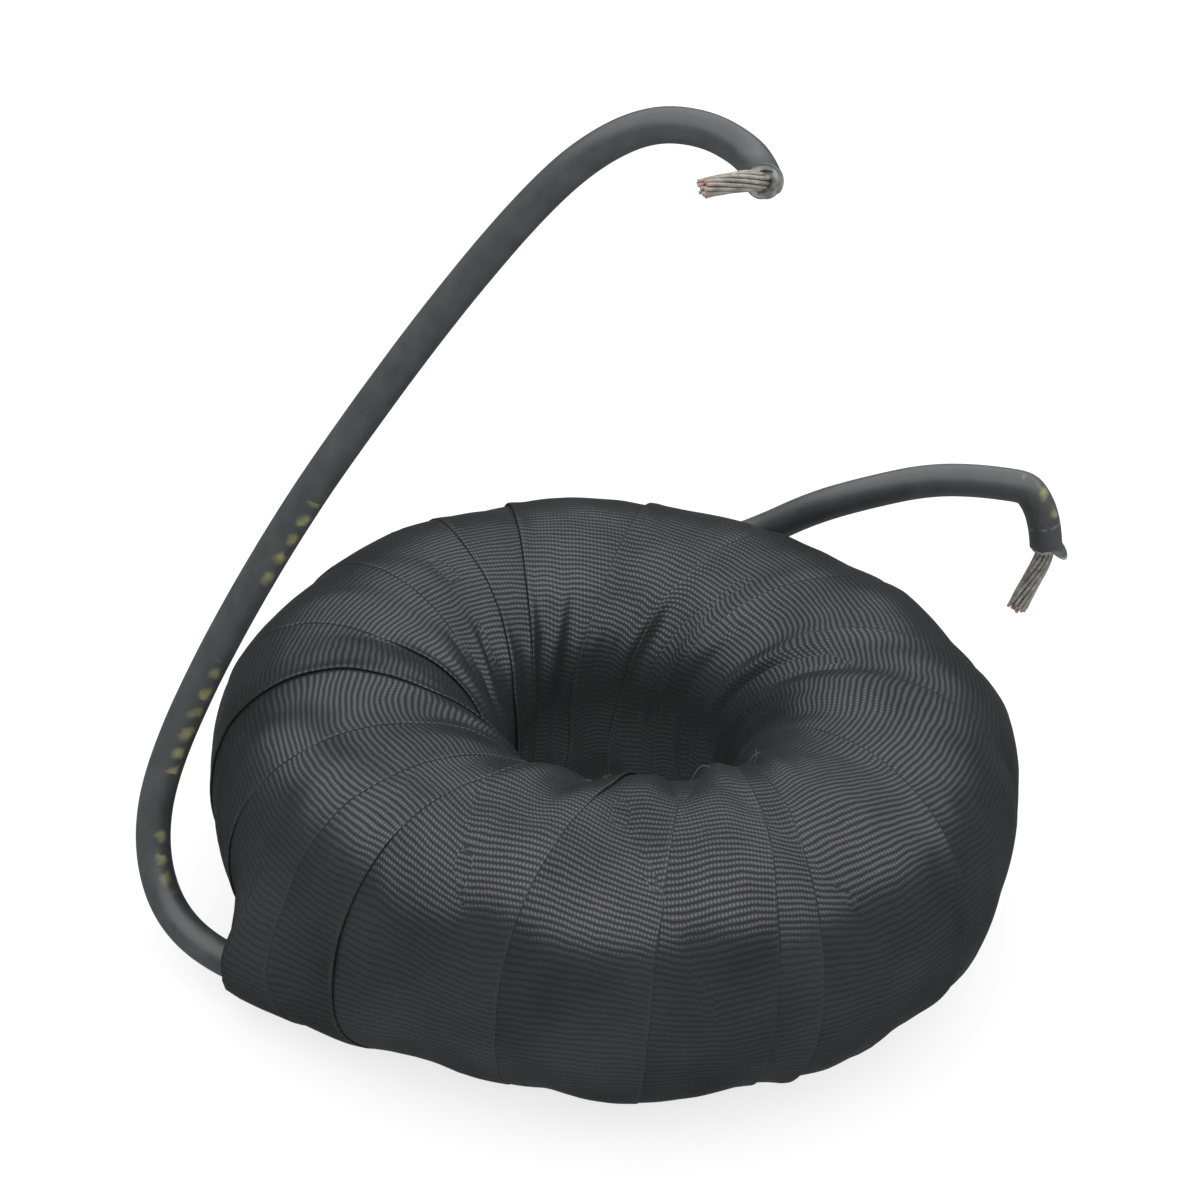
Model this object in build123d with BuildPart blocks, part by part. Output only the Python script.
"""Toroidal inductor: a ring core under a banked copper winding, served with lapped woven tape.

Two insulated leads are spliced to the ends of the winding in sleeves under the tape. The ring
lies flat, the origin is at the centre of its base, and +Z is up. Lengths are in millimetres.
"""

import os
from math import atan2, copysign, cos, degrees, pi, radians, sin, tan

from build123d import *

# Ring core, a coated powder ring
core_outer_diameter = 64.0
core_inner_diameter = 38.0
core_height = 16.0

# Winding, laid in banks round the core with a shallow groove between one bank and the next
bank_count = 24
bank_sides = 8
winding_build = 4.75
bank_groove = 0.8
bank_share = 0.8
wire_diameter = 1.4
fit_clearance = 0.15

# Tape wrap: each lap lies over the edge of the next one, and swells where a bank stands out
outer_tape_build = 1.05
hole_tape_build = 1.95
face_tape_build = 1.75
base_flat_depth = 0.4
bore_depth = 0.9
tape_step = 0.4
lap_skew = 2.0
lap_overrun = 1.0
lap_swell = 0.9
face_swell_share = 0.5
section_points = 16
section_fullness_share = 2.3
lap_edge_angles = (
    *(5, 20, 36, 51, 63, 74, 87, 100, 114, 129, 144, 158, 176),
    *(194, 210, 221, 233, 245, 258, 271, 283, 289, 303, 317, 331, 345),
)
lap_swell_shares = (
    *(0.2, 0.7, 0.1, 0.5, 0.0, 0.1, 0.2, 0.1, 0.6, 0.1, 0.6, 0.1, 0.5),
    *(0.2, 0.5, 0.0, 0.2, 0.7, 0.1, 1.0, 0.5, 0.0, 0.9, 0.1, 0.6, 0.0),
)

# Leads, stranded wire in a thick jacket, stripped at the end
lead_diameter = 3.4
lead_sides = 8
lead_mouth_depth = 1.0
strand_diameter = 0.38
strand_gap = 0.03
strand_sides = 6
strand_rings = (1, 6, 12)
strand_lay_angle = 40.0

# Splice sleeves under the tape, each in line with the first run of its lead
sleeve_wall = 0.35
sleeve_bore_clearance = 0.1
tail_insert = 3.0
tail_knee = 1.6
tail_depth = 5.0
tape_cover = 0.9
start_bulge_spread = 4.4
finish_bulge_spread = 2.4
bulge_tail = 5.0
bulge_sides = 12
cut_overrun = 3.0

# Where each lead leaves: the angle round the ring at which its first run lies square to the ring's
# radius, its seat on the winding's outline, then distances along that run from there to the
# sleeve's two ends, to the end of the bulge, and to the first two points of the lead
start_exit_angle = 248.3
start_seat_angle = -55.8
start_seat_depth = 2.2
start_sleeve_from = 8.0
start_sleeve_to = 20.0
start_bulge_to = 24.2
start_run_places = (18.5, 25.5)
finish_exit_angle = 93.0
finish_seat_rise = 3.2
finish_sleeve_from = -4.0
finish_sleeve_to = 7.0
finish_bulge_to = 7.9
finish_run_places = (5.6, 10.5)

# Routes of the leads beyond their first runs, measured from the seats
lead_bend_share = 0.45
lead_long_offsets = [
    (-29.91, 14.18, 1.29),
    (-32.61, 17.88, 6.59),
    (-32.21, 20.88, 13.79),
    (-27.81, 23.88, 25.99),
    (-21.11, 26.38, 40.49),
    (-14.21, 28.38, 52.79),
    (-7.41, 29.38, 64.39),
    (-0.71, 29.88, 74.69),
    (4.39, 29.88, 80.89),
    (9.59, 29.58, 84.49),
    (14.59, 28.58, 85.09),
    (18.49, 26.38, 84.29),
    (20.09, 23.18, 83.89),
    (20.29, 20.38, 84.49),
]
lead_short_offsets = [
    (15.12, -0.44, 3.2),
    (19.72, -2.24, 7.5),
    (25.22, -3.84, 11.0),
    (31.32, -4.64, 13.7),
    (36.92, -5.24, 14.5),
    (41.22, -5.74, 14.2),
    (43.52, -6.14, 11.5),
    (44.02, -6.44, 8.2),
]

# Stripped conductors, measured from the jacket's cut end: where each bends, and its cut tips
strands_long_offsets = [(0.05, -0.7, 0.15), (-5.5, -2.7, 0.1)]
strands_short_offsets = [(0.1, -0.1, -0.7), (-2.2, -1.3, -7.2)]

# Sizes worked out from the above
core_mid_radius = (core_outer_diameter + core_inner_diameter) / 4
core_width = (core_outer_diameter - core_inner_diameter) / 2
bank_apothem = max(core_width, core_height) / 2 + winding_build
bank_angle = 360 / bank_count
wrap_radius = core_mid_radius + bank_apothem + outer_tape_build
hole_radius = core_mid_radius - bank_apothem - hole_tape_build
half_height = bank_apothem + face_tape_build
mid_height = half_height - base_flat_depth
lead_radius = lead_diameter / 2
strand_pitch = strand_diameter + strand_gap
conductor_radius = (len(strand_rings) - 0.5) * strand_pitch
sleeve_bore = lead_radius + sleeve_bore_clearance / 2
sleeve_radius = sleeve_bore + sleeve_wall
sleeve_seat = bank_apothem + fit_clearance + sleeve_radius
start_seat = sleeve_seat - start_seat_depth
bulge_radius = sleeve_radius + fit_clearance + tape_cover
start_exit = (
    start_exit_angle,
    core_mid_radius + start_seat * cos(radians(start_seat_angle)),
    mid_height + start_seat * sin(radians(start_seat_angle)),
)
finish_exit = (finish_exit_angle, core_mid_radius + sleeve_seat, mid_height + finish_seat_rise)
start_run = (start_exit, start_sleeve_from, start_sleeve_to)
finish_run = (finish_exit, finish_sleeve_from, finish_sleeve_to)

os.makedirs("parts", exist_ok=True)


def upright_plane(angle, skew=0):
    """A vertical plane with its X axis pointing outwards, passing the ring's axis at the skew."""
    return Plane(
        origin=Vector(0, skew, 0).rotate(Axis.Z, angle),
        x_dir=Vector(1, 0, 0).rotate(Axis.Z, angle),
        z_dir=Vector(0, -1, 0).rotate(Axis.Z, angle),
    )


def exit_plane(angle, radius, height, along):
    """A plane square to a lead's first run: X points away from the ring's axis and Y points up."""
    run = Vector(0, -1, 0).rotate(Axis.Z, angle)
    return Plane(
        origin=Vector(radius, 0, height).rotate(Axis.Z, angle) + run * along,
        x_dir=Vector(1, 0, 0).rotate(Axis.Z, angle),
        z_dir=run,
    )


def save(part, name):
    """Label a finished piece and write it to a file of that name."""
    part.label = name
    export_step(part, f"parts/{name}.step")


# Core
with BuildPart() as core:
    with BuildSketch(Plane.XZ):
        with Locations((core_mid_radius, mid_height)):
            Rectangle(core_width, core_height)
    revolve(axis=Axis.Z)
save(core.part, "core")


def bank(apothem, angle):
    """A straight length of the winding's outline, mitred to the given angle of the ring."""
    half_length = (core_mid_radius + apothem) * tan(radians(angle / 2)) + cut_overrun
    with BuildPart() as length:
        with BuildSketch(upright_plane(0)):
            with Locations((core_mid_radius, mid_height)):
                RegularPolygon(apothem, bank_sides, major_radius=False, rotation=180 / bank_sides)
        extrude(amount=half_length, both=True)
        split(bisect_by=upright_plane(-angle / 2), keep=Keep.BOTTOM)
        split(bisect_by=upright_plane(angle / 2), keep=Keep.TOP)
    return length.part


def tail(exit_place, sleeve_from, radius):
    """A round wire from inside the sleeve to a knee behind it, and on into the winding."""
    bank_centre = Vector(core_mid_radius, 0, mid_height).rotate(Axis.Z, exit_place[0])
    inward = (bank_centre - exit_plane(*exit_place, 0).origin).normalized()
    tip = exit_plane(*exit_place, sleeve_from + tail_insert).origin
    knee = exit_plane(*exit_place, sleeve_from - tail_knee).origin
    with BuildPart() as wire:
        with BuildLine():
            Polyline(tip, knee, knee + inward * tail_depth)
        with BuildSketch(Plane(origin=tip, z_dir=knee - tip)):
            Circle(radius)
        sweep(transition=Transition.RIGHT)
    return wire.part


def sleeve_space(exit_place, sleeve_from, sleeve_to):
    """Room for a sleeve, with a clearance all round."""
    with BuildPart() as space:
        with BuildSketch(exit_plane(*exit_place, sleeve_from - fit_clearance)):
            Circle(sleeve_radius + fit_clearance)
        extrude(amount=sleeve_to - sleeve_from + 2 * fit_clearance)
    return space.part


# Winding
crown = bank(bank_apothem, bank_angle * bank_share)
groove = bank(bank_apothem - bank_groove, bank_angle)
with BuildPart() as winding:
    with PolarLocations(0, bank_count):
        add(crown)
        add(groove)
    for exit_place, sleeve_from, sleeve_to in (start_run, finish_run):
        add(sleeve_space(exit_place, sleeve_from, sleeve_to), mode=Mode.SUBTRACT)
        add(tail(exit_place, sleeve_from, wire_diameter / 2))
    with BuildSketch(Plane.XZ):
        with Locations((core_mid_radius, mid_height)):
            Rectangle(core_width + 2 * fit_clearance, core_height + 2 * fit_clearance)
    revolve(axis=Axis.Z, mode=Mode.SUBTRACT)
save(winding.part, "winding")


# Splice sleeves
def sleeve(exit_place, sleeve_from, sleeve_to):
    """A plain tube along the lead's first run."""
    with BuildPart() as tube:
        with BuildSketch(exit_plane(*exit_place, sleeve_from)):
            Circle(sleeve_radius)
            Circle(sleeve_bore, mode=Mode.SUBTRACT)
        extrude(amount=sleeve_to - sleeve_from)
    return tube.part


save(sleeve(*start_run), "start_sleeve")
save(sleeve(*finish_run), "finish_sleeve")


# Tape wrap
def superellipse(half_width, half_height):
    """Points round a full oval, from the outside upwards."""
    power = 2 / section_fullness_share
    points = []
    for index in range(section_points):
        turn = 2 * pi * index / section_points
        across = copysign(abs(cos(turn)) ** power, cos(turn))
        upward = copysign(abs(sin(turn)) ** power, sin(turn))
        points.append((half_width * across, half_height * upward))
    return points


def lap(first_angle, last_angle, swell):
    """One visible lap: it comes out from under its neighbour and ends on top of the next lap."""
    half_angle = (last_angle - first_angle) / 2
    half_width = wrap_radius * tan(radians(half_angle)) + lap_overrun
    inner_reach = hole_radius - bore_depth
    outer_reach = wrap_radius + tape_step + swell
    half_reach = (outer_reach - inner_reach) / 2
    swollen_height = half_height + swell * face_swell_share
    with BuildPart() as lap_body:
        with BuildSketch(upright_plane(first_angle + half_angle, lap_skew).offset(-half_width)):
            with BuildLine(Location((inner_reach + half_reach, mid_height))):
                Polyline(*superellipse(half_reach, swollen_height), close=True)
            make_face()
        extrude(amount=2 * half_width, taper=degrees(atan2(tape_step, 2 * half_width)))
        split(bisect_by=upright_plane(first_angle, lap_skew), keep=Keep.BOTTOM)
        split(bisect_by=upright_plane(last_angle, lap_skew), keep=Keep.TOP)
    return lap_body.part


def bulge(exit_place, sleeve_from, sleeve_to, bulge_to, bulge_spread):
    """Tape drawn over a sleeve: it rises out of the ring and ends in a blunt pouch round the lead."""
    knee_end = sleeve_from - tail_knee - wire_diameter
    places = (knee_end - bulge_tail, knee_end, sleeve_from, sleeve_to, bulge_to)
    reach_shares = (-0.7, 0.5, 1.0, 1.0, 0.86)
    spread_shares = (1.5, 1.25, 1.0, 0.75, 0.5)
    inward = Vector(core_mid_radius - exit_place[1], mid_height - exit_place[2]).normalized()
    with BuildPart() as cover:
        for along, reach_share, spread_share in zip(places, reach_shares, spread_shares):
            shift = inward * bulge_spread * spread_share
            with BuildSketch(exit_plane(*exit_place, along)):
                with Locations((shift.X, shift.Y)):
                    radius = bulge_radius * reach_share + bulge_spread * spread_share
                    RegularPolygon(radius, bulge_sides, major_radius=False)
        loft(ruled=True)
    return cover.part


def lead_space(exit_place, sleeve_from, sleeve_to, bulge_to):
    """Room in the tape for the wire's tail, the sleeve round it and the lead in front of it."""
    with BuildPart() as space:
        add(tail(exit_place, sleeve_from, wire_diameter / 2 + fit_clearance))
        add(sleeve_space(exit_place, sleeve_from, sleeve_to))
        with BuildSketch(exit_plane(*exit_place, sleeve_to)):
            Circle(lead_radius + fit_clearance)
        extrude(amount=bulge_to - sleeve_to + cut_overrun)
    return space.part


lap_ends = (*lap_edge_angles[1:], lap_edge_angles[0] + 360)
bank_space = bank(bank_apothem + fit_clearance, bank_angle)
with BuildPart() as tape_wrap:
    for first_angle, last_angle, swell_share in zip(lap_edge_angles, lap_ends, lap_swell_shares):
        add(lap(first_angle, last_angle, lap_swell * swell_share))
    add(bulge(*start_run, start_bulge_to, start_bulge_spread))
    add(bulge(*finish_run, finish_bulge_to, finish_bulge_spread))
    with BuildSketch(Plane.XY.offset(-cut_overrun)):
        Circle(hole_radius)
    extrude(amount=2 * half_height + 2 * cut_overrun, mode=Mode.SUBTRACT)
    with PolarLocations(0, bank_count):
        add(bank_space, mode=Mode.SUBTRACT)
    add(lead_space(*start_run, start_bulge_to), mode=Mode.SUBTRACT)
    add(lead_space(*finish_run, finish_bulge_to), mode=Mode.SUBTRACT)
    split(bisect_by=Plane.XY, keep=Keep.TOP)
save(tape_wrap.part, "tape_wrap")


# Leads
def lead_points(exit_place, run_places, offsets):
    """Points along a lead: two on its first run, then the bends beyond it."""
    on_run = [exit_plane(*exit_place, along).origin for along in run_places]
    seat = exit_plane(*exit_place, 0).origin
    return on_run + [seat + Vector(offset) for offset in offsets]


def lead(points, name):
    """A jacket along straight runs and tangent arcs, with an open mouth at its cut end."""
    runs = [after - before for before, after in zip(points, points[1:])]
    radii = []
    for first, second in zip(runs, runs[1:]):
        half_turn = radians(first.get_angle(second)) / 2
        radii.append(lead_bend_share * min(first.length, second.length) / tan(half_turn))
    with BuildPart() as jacket:
        with BuildLine() as path:
            FilletPolyline(*points, radius=radii)
        with BuildSketch(Plane(origin=points[0], z_dir=runs[0])) as section:
            RegularPolygon(lead_radius, lead_sides)
        sweep()
        swept_volume = jacket.part.volume
        with BuildSketch(Plane(origin=points[-1], z_dir=-runs[-1])):
            Circle(conductor_radius + strand_gap)
        extrude(amount=lead_mouth_depth, mode=Mode.SUBTRACT)
    length = path.wire().length
    print(name, f"length {length:.1f}", "radii", [round(radius, 1) for radius in radii])
    print(name, f"volume {swept_volume:.1f}, section times length {section.sketch.area * length:.1f}")
    save(jacket.part, name)


long_points = lead_points(start_exit, start_run_places, lead_long_offsets)
short_points = lead_points(finish_exit, finish_run_places, lead_short_offsets)
lead(long_points, "lead_long")
lead(short_points, "lead_short")


# Stripped conductors
def strand_bundle(points, offsets, name):
    """Strands in rings round a centre one: out of the jacket's mouth, round a bend, then twisted."""
    jacket_end = points[-1]
    outward = (jacket_end - points[-2]).normalized()
    bend, tip = [jacket_end + Vector(offset) for offset in offsets]
    onward = (tip - bend).normalized()
    mitre = (outward + onward).normalized()
    mouth = Plane(origin=jacket_end - outward * lead_mouth_depth, z_dir=outward)
    with BuildPart() as bundle:
        for ring, count in enumerate(strand_rings):
            for index in range(count):
                place = Vector(ring * strand_pitch, 0, 0).rotate(Axis.Z, 360 * index / count)
                root = mouth.from_local_coords(place)
                offset = root - mouth.origin
                at_bend = offset - outward * (offset.dot(mitre) / outward.dot(mitre))
                squared = at_bend - onward * at_bend.dot(onward)
                at_tip = squared.rotate(Axis((0, 0, 0), onward), strand_lay_angle)
                with BuildLine():
                    Polyline(root, bend + at_bend, tip + at_tip)
                with BuildSketch(Plane(origin=root, z_dir=outward)):
                    RegularPolygon(strand_diameter / 2, strand_sides)
                sweep(transition=Transition.RIGHT)
    save(bundle.part, name)


strand_bundle(long_points, strands_long_offsets, "lead_long_strands")
strand_bundle(short_points, strands_short_offsets, "lead_short_strands")
